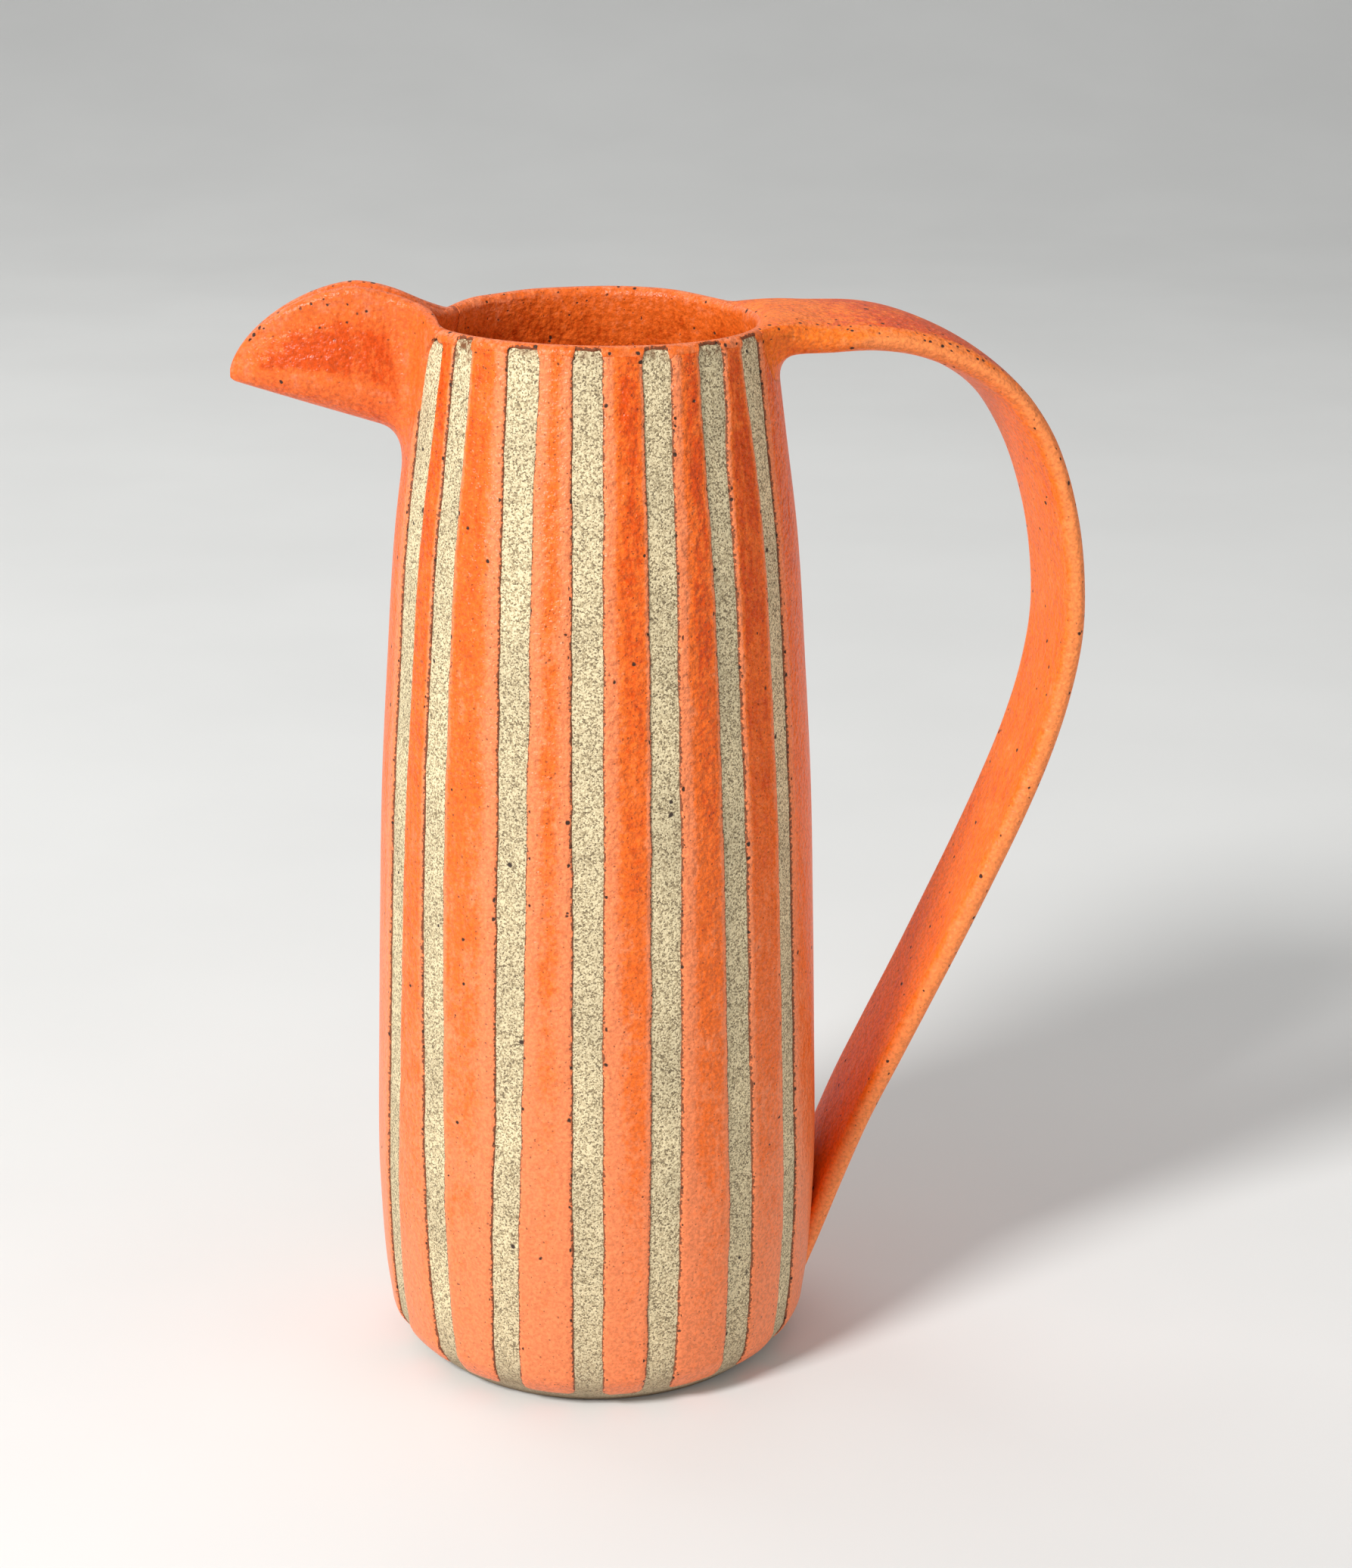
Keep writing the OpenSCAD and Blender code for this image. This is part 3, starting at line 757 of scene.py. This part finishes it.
def skinFrame(angle, s, step=0.01):
    # point on the skin at an angle from the spout's middle, and its normal, in (u, across, height)
    def at(angle, s):
        radius, z = skinPlace(s)
        return turned(radius, angle + 90, z)

    alongAngle = at(angle + step, s) - at(angle - step, s)
    alongSkin = at(angle, s + step) - at(angle, s - step)
    return at(angle, s), unit(np.cross(alongAngle, alongSkin))


def blendRows(start, startWay, end, endWay, rows, pull):
    # rows of points on curves from start, along startWay, to end, against endWay
    reach = np.linalg.norm(end - start, axis=-1, keepdims=True) * pull
    one, two = start + reach * startWay, end + reach * endWay
    t = np.linspace(0, 1, rows)[:, None, None]
    return (1 - t) ** 3 * start + 3 * (1 - t) ** 2 * t * one + 3 * (1 - t) * t**2 * two + t**3 * end


def steps(counts):
    # places along a half section, by the count in each part
    last = len(counts) - 1
    return np.hstack([np.linspace(k, k + 1, count, endpoint=k == last) for k, count in enumerate(counts)])


def ringAround(knots, t):
    return smoothThrough([(k[0], k[1]) for k in knots], t), smoothThrough([(k[0], k[2]) for k in knots], t)


def rootRing(knots, t, step=0.002):
    # points on the skin round a root, their normals, and the ways the blend leaves
    start, normal = skinFrame(*ringAround(knots, t))
    ahead, behind = (skinFrame(*ringAround(knots, near))[0] for near in (t + step, t - step))
    way = unit(np.cross(ahead - behind, normal))
    way *= np.sign(way[0, 2])
    for k in (0, -1):
        way[k] = unit(way[k] * (1, 0, 1))
    return start, normal, way


def makeSpoutRows(given, pull):
    t = steps(given.steps)
    start, normal, startWay = rootRing(given.root, t)
    reach = smoothThrough(given.blendReach, t)

    def section(u):
        return np.stack([u, *spoutPoint(u, t)], -1)

    end = section(reach)
    start[t < 2.5] -= given.rootSink * normal[t < 2.5]
    blend = blendRows(start, startWay, end, -unit(section(reach + 0.3) - end), given.blendRows,
        smoothThrough(pull, t)[:, None])
    share = np.linspace(0, 1, given.rows)[1:, None]
    share = (np.sin(share * math.pi / 2) + share) / 2
    return t, np.vstack([blend, section(reach + (given.end - reach) * share)])


def innerPool(s):
    # thin over the rim, thicker down the inside
    return 0.34 + 0.56 * eased((s - lipEnd + 4) / 18)


def makeSpout(given):
    t, rows = makeSpoutRows(given, given.farPull)
    other = makeSpoutRows(given, given.nearPull)[1][:, -2:0:-1] * (1, -1, 1)
    full = np.hstack([rows, other])
    count = full.shape[1]
    faces = gridFaces(len(full), count, closed=True)
    faces.append(tuple(range((len(full) - 1) * count, len(full) * count)))
    shown = len(faces)
    # inside the wall a band joins the outer and inner parts of the root
    half, middle = len(t), int(np.argmin(np.abs(t - 2.5)))
    for side in (1, -1):
        at = [side * k % count for k in range(half)]
        i, j = 0, half - 1
        while i < middle or j > middle:
            outer = j <= middle or (i < middle and i / middle <= (half - 1 - j) / (half - 1 - middle))
            faces.append((at[i], at[i + 1] if outer else at[j - 1], at[j]))
            i, j = (i + 1, j) if outer else (i, j - 1)
    faces = [f for f in faces if len(set(f)) > 2]
    # glaze pools in the dished side, and as inside the jug where the spout leaves it; under the fold it is deeper too,
    # a painted shade under the spout
    allT, reach = np.hstack([t, t[-2:0:-1]]), full[..., 0]
    dish = eased((allT - 0.98) / 0.2) * eased((1.92 - allT) / 0.5) * eased((reach - 42) / 9) * eased((83 - reach) / 20)
    pool = 0.42 + 0.88 * dish + 0.4 * eased((allT - 3) / 1.2) + 0.25 * eased((1 - allT) / 0.4)
    ringS = np.interp(allT, t, ringAround(given.root, t)[1])
    ringShare = eased(1 - np.arange(len(full)) / given.blendRows)[:, None] * eased((allT - 2) / 0.5)
    pool = pool + (innerPool(ringS) - pool) * ringShare
    onLip = bounded(1 - np.abs(allT - 2.25) / 0.7)
    speck = bounded(onLip * 1.4) * np.clip((reach - 40) / 10, 0.25, 1)
    piece = makePiece("foldedSpout", full.reshape(-1, 3) * (-1, 1, 1), faces, spoutGlaze,
        {"pool": pool, "speck": speck}, range(shown, len(faces)))
    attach(piece, "root")
    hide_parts("spout")
    return piece


spoutPiece = makeSpout(spout)
print("spout made:", len(spoutPiece.data.polygons))

# liner and rim
liner = settings(
    columns=520, rows=32, cornerRows=7, floorRows=6,
    edge=247.2,  # lower edge of the orange band round the rim, under the panels
    # and over each bare stripe
    stripeEdges=[250.5, 250.1, 249.2, 249.7, 249.8, 250.2, 249.6, 248.6, 249.1, 248.7, 249.2, 248.8, 249.3],
    stripeCorner=(0.05, 0.45),  # where a raised part begins, and how wide its corners are
    still=3,  # this near its inner end nothing moves
    waves=(20, 110),  # how often its edge's waves go round the jug
    edgeWave=0.22, edgeRound=0.8,
    spoutFade=8,  # degrees beside the spout's lips
    firstPlaces=[1.945, 1.96, 1.98],  # its first places in the spout's section
    depth=0.7,  # of the coat's hidden side
)


def makeLiner(given):
    t = steps(spout.steps)
    lipAngle, lipS = ringAround(spout.root, np.hstack([given.firstPlaces, t[(t >= 2) & (t <= 3)]]))
    lipS = np.maximum(lipS, given.edge)[:, None]
    backAngle, backS = ringAround(spout.root, t[t > 3])
    corner = jug.slab + jug.innerCorner
    cornerS = lipEnd + lipStart - corner

    def place(angle, s, lift):
        # points over the skin by lift, and past cornerS round the inner corner and over the floor
        radius, z = skinPlace(np.minimum(s, cornerS))
        a = bounded((s - lipStart) / lipArc) * math.pi
        radius, z = radius + lift * np.cos(a), z + lift * np.sin(a)
        beyond = s - cornerS
        a = np.radians(90 * bounded(beyond / (given.cornerRows - 1)))
        arm = jug.innerCorner - jug.glaze - lift
        centre = wallRadius(corner) - jug.wall - jug.innerCorner
        share = bounded(1 - (beyond - given.cornerRows + 1) / given.floorRows)
        radius = np.where(beyond > 0, (centre + arm * np.cos(a)) * share, radius)
        z = np.where(beyond > 0, corner - arm * np.sin(a), z)
        return turned(radius, angle + spoutSide, z)

    # the band over the rim goes round from one of the spout's lips to the other
    rest = np.linspace(lipAngle[-1], 360 - lipAngle[-1], given.columns)
    fade = bounded(1 - np.minimum(rest - rest[0], rest[-1] - rest) / given.spoutFade)
    turns = np.arange(*given.waves)[:, None]
    phases = np.random.default_rng(3).uniform(0, 2 * math.pi, len(turns))[:, None]
    raised = np.sin(turns * np.radians(rest) + phases).sum(0) / len(turns) ** 0.5 * given.edgeWave
    # over each bare stripe it ends higher, in round corners
    inStripe, flares, straight = np.zeros(len(rest)), panelCoat.flares, (0.0, 0.0)
    perDegree = math.radians(panelCoat.sizes["Radius"])
    begin, wide = given.stripeCorner
    for k, (stripe, edge) in enumerate(zip(stripes, given.stripeEdges)):
        left = stripe[2][0] + flares.get(k or len(stripes), straight)[1] / perDegree
        right = stripe[2][1] + flares.get(k + 1, straight)[0] / perDegree
        inside = (right - left) / 2 - apart(rest + spoutSide, (left + right) / 2)
        inside = bounded((np.radians(inside) * wallRadius(lipStart) - begin) / wide)
        inStripe = np.maximum(inStripe, inside)
        raised += (edge - given.edge) * inside * (2 - inside)
    still = lipEnd - given.still
    bandS = lipS + raised * (1 - fade) * bounded((still - lipS) / (still - given.edge))
    bandAngle = rest + np.where(rest < 180, 1, -1) * fade * (lipAngle - lipAngle[-1])[:, None]
    fromEdge = bandS - bandS[:1]
    hollow = 1 - np.minimum(fromEdge / given.edgeRound, 1)
    lift = (jug.glaze + bareWall.sink) * (np.sqrt(1 - hollow**2) - 1) * (1 - fade)
    # the body goes on down the inside, also from the spout's root
    bodyAngle = np.hstack([rest, 360 - backAngle, backAngle[-2::-1]])
    starts = np.hstack([np.full(len(rest), lipEnd), backS, backS[-2::-1]])
    beyond = np.arange(1, given.cornerRows + given.floorRows)[:, None]
    bodyS = np.vstack([starts + (cornerS - starts) * np.linspace(0, 1, given.rows)[:, None],
        cornerS + beyond + 0 * starts])

    # each has a hidden layer under the one that shows
    layers = [place(bandAngle, bandS, lift), place(bandAngle, bandS, -given.depth),
        place(bodyAngle, bodyS, 0.0), place(bodyAngle, bodyS, -given.depth)]
    points = np.vstack([layer.reshape(-1, 3) for layer in layers])
    first = np.cumsum([0] + [layer[..., 0].size for layer in layers])
    faces, hidden = [], []
    for k, layer in enumerate(layers):
        made = gridFaces(*layer.shape[:2], first[k], closed=k > 1, flip=k % 2 == 1)
        hidden += range(len(faces), len(faces) + len(made)) if k % 2 else []
        faces += made
    shown = len(faces)

    def band(k, line):
        # faces between a line of points in layer k and in the one under it
        a, b = first[k] + np.array(line), first[k + 1] + np.array(line)
        return list(zip(a[:-1], a[1:], b[1:], b[:-1]))

    columns = len(rest)
    faces += band(0, range(columns))
    for j in (0, columns - 1):
        faces += band(0, np.arange(len(bandS)) * columns + j)
    faces += band(2, [*range(columns - 1, len(bodyAngle)), 0])
    hidden += range(shown, len(faces))

    def marked(onBand, onBody):
        # a mark's values in all four layers
        return np.hstack([np.tile(np.broadcast_to(values, s.shape).ravel(), 2)
            for values, s in ((onBand, bandS), (onBody, bodyS))])

    verge = bounded(1.08 - fromEdge / 3) * np.minimum(inStripe * 3, 1)
    marks = {"pool": marked(innerPool(bandS), innerPool(bodyS)), "speck": marked(0.6, 0.08), "verge": marked(verge, 0)}
    piece = makePiece("linerGlaze", points, faces, linerGlaze, marks, hidden)
    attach(piece, "root")
    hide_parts("liner_glaze")
    return piece


linerPiece = makeLiner(liner)
print("liner made:", len(linerPiece.data.polygons))

# handle
handle = settings(
    reach=111, height=250, width=31, thickness=8, sections=240, blendRows=18, rootReach=53,
    steps=(9, 8, 8, 10),  # points in each part of the half section
    heart=(37.6, 245),  # reach and height of the point in the wall where the root is closed
    corner=0.49,  # share of the thickness
    # how far the faces fall towards their edges: share of the length, share of the thickness
    topFall=[(0, 0.5), (0.1, 0.5), (0.2, 0.45), (0.35, 0.3), (0.5, 0.2), (1, 0.14)],
    underFall=[(0, 0.14), (0.08, 0.3), (0.14, 0.5), (0.22, 0.4), (0.35, 0.14), (1, 0.14)],
    # outline on the wall, as the spout's
    root=[
        (-1, -22, 237.2), (0, 0, 235.6), (1, 22, 237.2), (1.5, 28, 241.0), (2, 31, 245.6), (2.5, 31.5, 248.8),
        (3, 28, 251.2), (3.5, 15, 252.2), (4, 0, 252.4), (4.5, -15, 252.2),
    ],
    pull=[(0, 0.45), (1.6, 0.45), (2.4, 0.3), (4, 0.3)],
    # turn about its own line, near edge outwards: share of the length, degrees
    twist=[(0, -5), (0.05, -4), (0.1, 0), (0.15, 5), (0.22, 7.8), (0.4, 3.9), (0.65, 2), (1, 1)],
    # thickness as a share, and how far the strap's middle lies inside its line
    slim=[(0, 1), (0.06, 1.05), (0.12, 1.25), (0.22, 1.25), (0.34, 1.12), (0.6, 1.08), (0.9, 1), (1, 1)],
    drawnIn=[(0, -0.35), (0.05, 0), (0.12, 0.8), (0.22, 0.8), (0.34, 0.75), (0.6, 0.6), (0.9, 0), (1, 0)],
    # shares of reach, height, width and thickness
    strap=[
        (0.3, 0.976, 1.14, 1.36), (0.345, 0.978, 1.1, 1.28), (0.385, 0.984, 1.05, 1.03), (0.42, 0.985, 1.02, 0.96),
        (0.47, 0.987, 1, 0.9), (0.56, 0.987, 0.98, 0.84), (0.65, 0.98, 0.96, 0.79), (0.735, 0.965, 0.95, 0.75),
        (0.81, 0.943, 0.94, 0.7), (0.872, 0.914, 0.93, 0.67), (0.929, 0.87, 0.92, 0.65), (0.972, 0.812, 0.91, 0.64),
        (0.994, 0.755, 0.91, 0.63), (0.998, 0.698, 0.91, 0.63), (0.978, 0.64, 0.9, 0.63), (0.941, 0.582, 0.9, 0.63),
        (0.89, 0.523, 0.9, 0.63), (0.832, 0.464, 0.89, 0.63), (0.769, 0.404, 0.89, 0.63), (0.703, 0.343, 0.88, 0.63),
        (0.635, 0.282, 0.88, 0.64), (0.567, 0.22, 0.87, 0.64), (0.509, 0.157, 0.86, 0.65), (0.456, 0.094, 0.84, 0.65),
        (0.412, 0.042, 0.8, 0.63),
    ],
)


def strapSection(width, thick, topFall, underFall, t):
    # half the outline of a flat bar with round corners: 0 to 1 out along its underside, to 2 and 3 round its
    # corners, to 4 back along its top
    corner = thick * handle.corner
    flat = width / 2 - corner
    a = np.radians(90 * np.clip(t - 1, 0, 2) - 90)
    across = np.where(t < 1, flat * t, np.where(t > 3, flat * (4 - t), flat + corner * np.cos(a)))
    fall = np.where(t < 2, underFall, topFall) * (across / (width / 2)) ** 2
    over = np.where(t < 2, corner - thick / 2, thick / 2 - corner) + corner * np.sin(a)
    return across, over * (1 - fall)


def makeHandleRows(given):
    # rows round the flare and then the strap, in (u, across, height)
    table = np.array(given.strap) * (given.reach, given.height, given.width, given.thickness)
    length = lengths(table[:, :2])
    begin = np.interp(given.rootReach, table[:8, 0], length[:8])
    at = np.linspace(begin, length[-1], given.sections)
    along = (at - begin) / (length[-1] - begin)
    u, z, width, thick = (smoothThrough(list(zip(length, column)), at) for column in table.T)
    slim, inward, twist, topFall, underFall = (
        smoothThrough(given[key], along) for key in ("slim", "drawnIn", "twist", "topFall", "underFall"))
    way = unit(np.stack([np.gradient(u), np.gradient(z)], -1))
    u, z = u + inward * way[:, 1], z - inward * way[:, 0]
    t = steps(given.steps)
    side, over = strapSection(width[:, None], (thick * slim)[:, None], topFall[:, None], underFall[:, None], t)
    side, over = np.hstack([side, -side[:, -2:0:-1]]), np.hstack([over, over[:, -2:0:-1]])
    twist = np.radians(twist)[:, None]
    side, over = side * np.cos(twist) + over * np.sin(twist), over * np.cos(twist) - side * np.sin(twist)
    height = z[:, None] + way[:, :1] * over
    # the lower end stops inside the clay
    middle = wallRadius(height) - jug.wall * 0.6
    radial = np.maximum(u[:, None] - way[:, 1:] * over, np.sqrt(np.maximum(middle**2 - side**2, 0)))
    strap = np.stack([radial, side, height], -1)
    # the upper end flares into the rim and the wall
    start, _, startWay = rootRing(given.root, t)
    start, startWay = (np.vstack([half, half[-2:0:-1] * (1, -1, 1)]) for half in (start, startWay))
    t = np.hstack([t, t[-2:0:-1]])
    blend = blendRows(start, startWay, strap[0], -unit(strap[1] - strap[0]), given.blendRows,
        smoothThrough(given.pull, t)[:, None])
    return t, np.vstack([blend, strap[1:]])


def makeHandle(given):
    t, full = makeHandleRows(given)
    rows, count = full.shape[:2]
    points = np.vstack([full.reshape(-1, 3), [[given.heart[0], 0, given.heart[1]]]])
    turn = math.radians(handleSide - 90)
    points[:, :2] = points[:, :2] @ [[math.cos(turn), math.sin(turn)], [-math.sin(turn), math.cos(turn)]]
    faces = gridFaces(rows, count, closed=True)
    shown = len(faces)
    faces += [(j, (j + 1) % count, len(points) - 1) for j in range(count)]
    faces.append(tuple(range((rows - 1) * count, rows * count)))
    onEdge = bounded(1 - np.abs(t - 1.95) / 1.1)
    near = bounded(1 - lengths(full[:, 0])[:, None] / 30)
    # the top of the strap has more pool: painted shade on the side that faces up and back
    pool = 0.56 + 0.62 * (t > 3) - 0.75 * onEdge
    pool = pool + (0.6 - pool) * eased(near * 1.3)
    # specks gather along the upper corner that the camera sees
    line = bounded((0.75 - np.abs(t - 2.8)) / 0.35) * (np.arange(count) > count // 2)
    speck = np.tile(np.maximum(line, 0.1), rows)
    piece = makePiece("strapHandle", points, faces, handleGlaze,
        {"pool": np.append(pool, 0), "speck": np.append(speck, 0)}, range(shown, len(faces)))
    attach(piece, "root")
    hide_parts("handle")
    return piece


handlePiece = makeHandle(handle)
print("handle made:", len(handlePiece.data.polygons))

# floor, lamps and world
studio = settings(
    floorColour=(0.8, 0.8, 0.78), floorHalf=4000, front=-3000, back=(3000, 5000),
    bendStart=1500,  # behind the jug the floor rises in a bend of this radius
    worldColour=(0.97, 0.98, 1, 1), worldStrength=0.36, aim=(0, 0, 0.13),
    # side and height in degrees, distance, size and power
    lamps={"key": (-44, 38, 1.7, 0.42, 27), "fill": (65, 25, 1.8, 1.2, 4),
        "back": (170, 50, 1.8, 1.0, 3), "behind": (-140, 35, 1.8, 1.2, 6)},
)


def makeFloor(given):
    material, tree, place = newMaterial("paleFloor")
    cloud = ramp(noise(place, 6, 3), 0.2, 0.8, 0.97, 1.02)
    shaded(tree, Base_Color=cloud * given.floorColour, Roughness=0.95, Specular_IOR_Level=0.2)
    turn, bend, half = np.radians(np.arange(5, 91, 5)), given.bendStart, given.floorHalf
    y = np.hstack([[given.front, bend], bend + bend * np.sin(turn), given.back[:1]])
    z = np.hstack([[0, 0], bend - bend * np.cos(turn), given.back[1:]])
    points = np.array([(x, *side) for side in zip(y, z) for x in (-half, half)])
    floor = makePiece("paleFloorSweep", points, gridFaces(len(y), 2), material, {})


def makeLamps(given):
    for name, (side, high, far, size, power) in given.lamps.items():
        data = bpy.data.lights.new(name, "AREA")
        data.shape, data.size, data.energy = "DISK", size, power
        high = math.radians(high)
        way = Vector(turned(math.cos(high), side, math.sin(high)))
        lamp = addObject(name, data)
        lamp.location = Vector(given.aim) + way * far
        lamp.rotation_euler = way.to_track_quat("Z", "Y").to_euler()
    scene.world = bpy.data.worlds.new("softStudio")
    scene.world.use_nodes = True
    back = scene.world.node_tree.nodes["Background"]
    back.inputs["Color"].default_value = given.worldColour
    back.inputs["Strength"].default_value = given.worldStrength


makeFloor(studio)
makeLamps(studio)
print("studio set")
